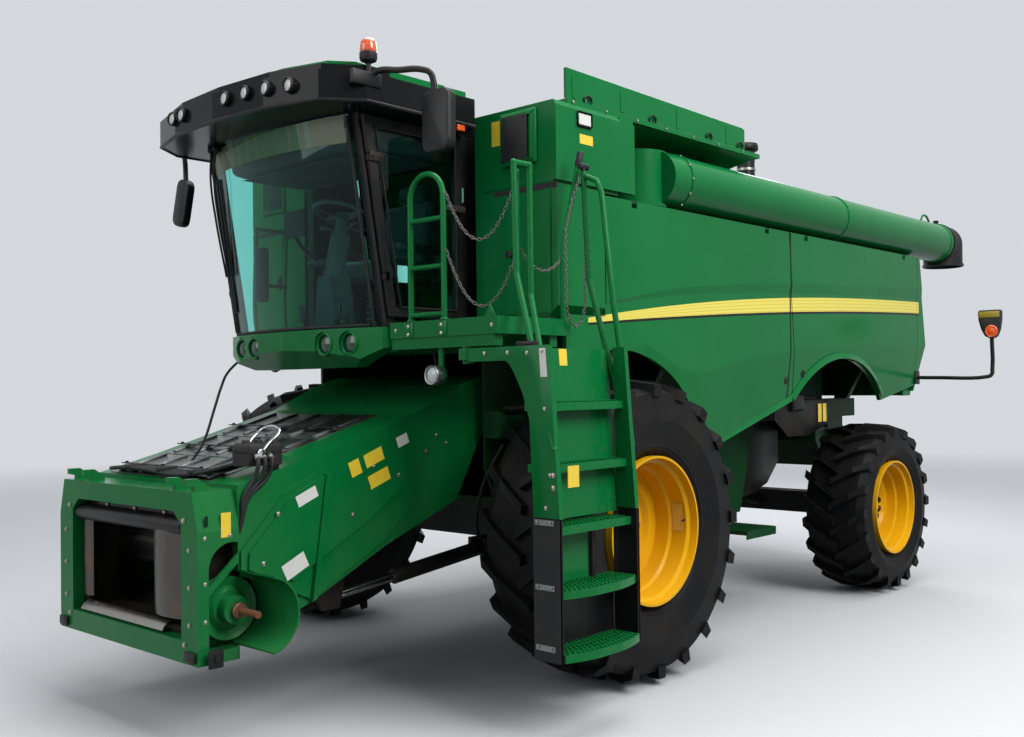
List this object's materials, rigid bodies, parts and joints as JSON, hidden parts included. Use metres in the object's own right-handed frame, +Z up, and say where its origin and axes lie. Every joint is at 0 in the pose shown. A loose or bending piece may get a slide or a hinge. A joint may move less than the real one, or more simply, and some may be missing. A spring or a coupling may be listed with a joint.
{
  "type": "combine harvester",
  "caption": "Self-propelled combine harvester without a header: cab, grain tank, feeder house, unloading auger and side panels on four lugged tyres.",
  "frame": {"origin": "on the ground, below the middle of the machine's overall length and width", "axes": "+X forward to the feeder house, +Y to the machine's left, +Z up"},
  "size_m": [7.9039, 4.34, 3.7499],
  "materials": {
    "green": "gloss",
    "dark_green": "satin",
    "yellow": "gloss",
    "black_metal": "satin",
    "steel": "worn",
    "rod": "polished",
    "engine": "painted",
    "tyre": "matt",
    "rubber": "matt",
    "plastic": "matt",
    "lamp": "gloss",
    "seat": "woven",
    "glass": "tinted"
  },
  "bodies": {
    "chassis": {"frame": "dark_green", "side_frame": "dark_green", "separator": "dark_green", "front_cabinets": "green", "grain_tank": "green", "engine": "engine", "engine_cover": "green", "exhaust": "black_metal", "rear_hood": "green", "chopper_housing": "dark_green", "cab_base": "green", "cab_frame": "plastic", "cab_roof": "green", "windscreen": "glass", "cab_glass": "glass", "seat": "seat", "controls": "plastic", "platform": "green", "handrails": "green", "front_axle": "black_metal", "rear_axle": "black_metal", "auger_turret": "green", "mirrors": "plastic", "lamps": "lamp", "rear_lamp_arms": "plastic"},
    "tank_flap_left": {"tank_flap_left": "green"},
    "tank_flap_right": {"tank_flap_right": "green"},
    "chopper_rotor": {"chopper_rotor": "steel"},
    "tailboard": {"tailboard": "dark_green"},
    "panel_front_left": {"panel_front_left": "green"},
    "panel_rear_left": {"panel_rear_left": "green"},
    "panel_front_right": {"panel_front_right": "green"},
    "panel_rear_right": {"panel_rear_right": "green"},
    "door": {"door": "plastic", "door_glass": "glass"},
    "ladder": {"ladder": "green"},
    "feeder": {"feeder_house": "green", "feeder_face": "green", "feeder_conveyor": "steel", "coupler": "plastic"},
    "header_drive": {"header_drive": "steel"},
    "lift_barrels": {"lift_barrels": "black_metal"},
    "lift_rods": {"lift_rods": "rod"},
    "knuckle_left": {"knuckle_left": "black_metal"},
    "knuckle_right": {"knuckle_right": "black_metal"},
    "wheel_front_left": {"tyre_front_left": "tyre", "rim_front_left": "yellow"},
    "wheel_front_right": {"tyre_front_right": "tyre", "rim_front_right": "yellow"},
    "wheel_rear_left": {"tyre_rear_left": "tyre", "rim_rear_left": "yellow"},
    "wheel_rear_right": {"tyre_rear_right": "tyre", "rim_rear_right": "yellow"},
    "auger": {"auger_tube": "green", "auger_spout": "rubber"}
  },
  "joints": [
    {"name": "front_left_wheel", "type": "hinge", "parent": "chassis", "child": "wheel_front_left", "pos_m": [1.572, 1.41, 0.885], "axis": [0, 1, 0], "continuous": true},
    {"name": "front_right_wheel", "type": "hinge", "parent": "chassis", "child": "wheel_front_right", "pos_m": [1.572, -1.41, 0.885], "axis": [0, 1, 0], "continuous": true},
    {"name": "steer_left", "type": "hinge", "parent": "chassis", "child": "knuckle_left", "pos_m": [-1.994, 1.05, 0.69], "axis": [0, 0, 1], "range_deg": [-28, 28]},
    {"name": "steer_right", "type": "hinge", "parent": "chassis", "child": "knuckle_right", "pos_m": [-1.994, -1.05, 0.69], "axis": [0, 0, 1], "range_deg": [-28, 28]},
    {"name": "rear_left_wheel", "type": "hinge", "parent": "knuckle_left", "child": "wheel_rear_left", "pos_m": [-1.994, 1.36, 0.69], "axis": [0, 1, 0], "continuous": true},
    {"name": "rear_right_wheel", "type": "hinge", "parent": "knuckle_right", "child": "wheel_rear_right", "pos_m": [-1.994, -1.36, 0.69], "axis": [0, 1, 0], "continuous": true},
    {"name": "feeder_lift", "type": "hinge", "parent": "chassis", "child": "feeder", "pos_m": [1.872, 0, 1.7], "axis": [0, -1, 0], "range_deg": [-8, 15]},
    {"name": "lift_barrel", "type": "hinge", "parent": "chassis", "child": "lift_barrels", "pos_m": [1.822, 0, 0.72], "axis": [0, -1, 0], "range_deg": [-9, 16]},
    {"name": "lift_rod", "type": "slide", "parent": "lift_barrels", "child": "lift_rods", "axis": [0.9938, 0, -0.1113], "range_m": [-0.14, 0.26]},
    {"name": "header_drive", "type": "hinge", "parent": "feeder", "child": "header_drive", "pos_m": [3.762, 0.8, 0.66], "axis": [0, 1, 0], "continuous": true},
    {"name": "ladder_swing", "type": "hinge", "parent": "chassis", "child": "ladder", "pos_m": [2.732, 1.34, 1.9], "axis": [0, 0, 1], "range_deg": [-90, 0]},
    {"name": "auger_swing", "type": "hinge", "parent": "chassis", "child": "auger", "pos_m": [1.072, 1.24, 2.87], "axis": [0, 0, -1], "range_deg": [0, 95]},
    {"name": "cab_door", "type": "hinge", "parent": "chassis", "child": "door", "pos_m": [2.7995, 0.761, 2.35], "axis": [-0.1603, 0, -0.9871], "range_deg": [0, 42]},
    {"name": "flap_left", "type": "hinge", "parent": "chassis", "child": "tank_flap_left", "pos_m": [1.572, 1.425, 3.374], "axis": [1, 0, 0], "range_deg": [0, 90]},
    {"name": "flap_right", "type": "hinge", "parent": "chassis", "child": "tank_flap_right", "pos_m": [1.572, -1.425, 3.374], "axis": [-1, 0, 0], "range_deg": [0, 90]},
    {"name": "panel_front_left", "type": "hinge", "parent": "chassis", "child": "panel_front_left", "pos_m": [0.572, 1.455, 2.832], "axis": [1, 0, 0], "range_deg": [0, 75]},
    {"name": "panel_rear_left", "type": "hinge", "parent": "chassis", "child": "panel_rear_left", "pos_m": [-1.428, 1.455, 2.832], "axis": [1, 0, 0], "range_deg": [0, 75]},
    {"name": "panel_front_right", "type": "hinge", "parent": "chassis", "child": "panel_front_right", "pos_m": [0.572, -1.455, 2.832], "axis": [-1, 0, 0], "range_deg": [0, 75]},
    {"name": "panel_rear_right", "type": "hinge", "parent": "chassis", "child": "panel_rear_right", "pos_m": [-1.428, -1.455, 2.832], "axis": [-1, 0, 0], "range_deg": [0, 75]},
    {"name": "chopper", "type": "hinge", "parent": "chassis", "child": "chopper_rotor", "pos_m": [-2.608, 0, 1.25], "axis": [0, 1, 0], "continuous": true},
    {"name": "tailboard", "type": "hinge", "parent": "chassis", "child": "tailboard", "pos_m": [-2.828, 0, 1.37], "axis": [0, 1, 0], "range_deg": [-10, 30]}
  ],
  "couplings": [
    {"joint": "steer_right", "follows": "steer_left", "ratio": 1},
    {"joint": "lift_barrel", "follows": "feeder_lift", "ratio": 1},
    {"joint": "lift_rod", "follows": "feeder_lift", "m_per_rad": 0.975}
  ]
}
